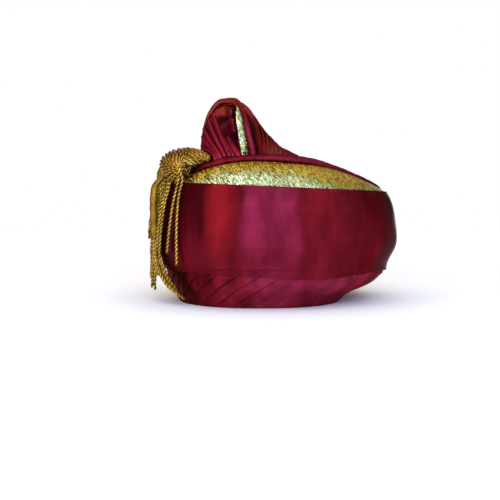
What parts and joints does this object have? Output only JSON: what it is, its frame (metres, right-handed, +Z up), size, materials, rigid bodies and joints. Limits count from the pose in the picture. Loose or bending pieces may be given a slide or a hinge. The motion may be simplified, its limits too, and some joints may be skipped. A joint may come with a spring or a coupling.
{
  "type": "tied turban pagri",
  "caption": "Ready-tied maroon satin turban with a smooth wide band, a gold brocade crescent, a raised pleated hood and a hanging gold tassel.",
  "frame": {"origin": "centre of the whole turban's footprint, on the flat underside of its rim", "axes": "+Z up out of the crown, -Y towards the front with the widest gold, +X towards the wearer's left; the tassel hangs at -X"},
  "size_m": [0.2524, 0.238, 0.2001],
  "materials": {
    "maroon_satin": "lustrous deep maroon satin with a purple sheen",
    "gold_brocade": "gold metallic brocade with fine diagonal threads",
    "gold_bullion": "twisted gold bullion cord"
  },
  "bodies": {
    "root": {"lower_wrap": "maroon_satin", "satin_band": "maroon_satin", "gold_panel": "gold_brocade", "rolled_piping": "maroon_satin", "crown": "maroon_satin", "hood": "maroon_satin", "hood_pleats": "maroon_satin", "hood_roll": "maroon_satin", "hood_strip": "gold_brocade", "gold_tassel": "gold_bullion"}
  },
  "joints": []
}
